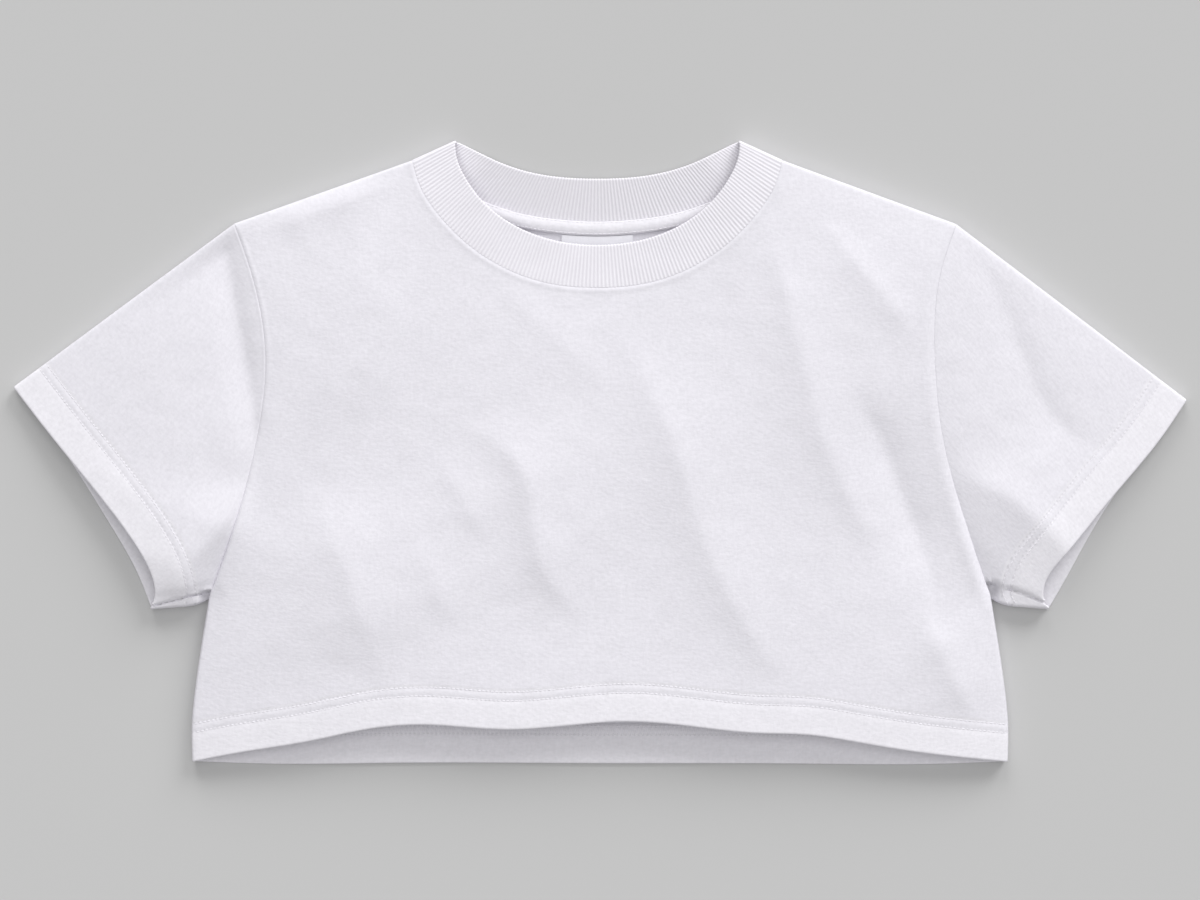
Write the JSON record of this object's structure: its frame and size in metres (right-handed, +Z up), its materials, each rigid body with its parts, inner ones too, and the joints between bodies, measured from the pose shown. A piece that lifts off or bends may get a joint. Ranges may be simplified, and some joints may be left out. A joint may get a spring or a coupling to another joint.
{
  "type": "crop top",
  "caption": "Short-sleeved cropped T-shirt in plain jersey with a wide ribbed crew neck, laid out flat on its back with some air inside.",
  "frame": {"origin": "on the surface the garment lies on, in the middle of its outline", "axes": "+X across the garment, from the wearer's right sleeve to the left one; +Y from the hem towards the neck; +Z up from the surface"},
  "size_m": [0.7553, 0.4018, 0.0228],
  "materials": {
    "cotton_jersey": "matte white single jersey",
    "cotton_rib": "matte white ribbed knit",
    "woven_label": "smooth white woven tape"
  },
  "bodies": {
    "root": {"front_panel": "cotton_jersey", "back_panel": "cotton_jersey", "sleeve_left": "cotton_jersey", "sleeve_right": "cotton_jersey", "neck_tape": "cotton_jersey", "neck_rib": "cotton_rib", "neck_label": "woven_label"}
  },
  "joints": []
}
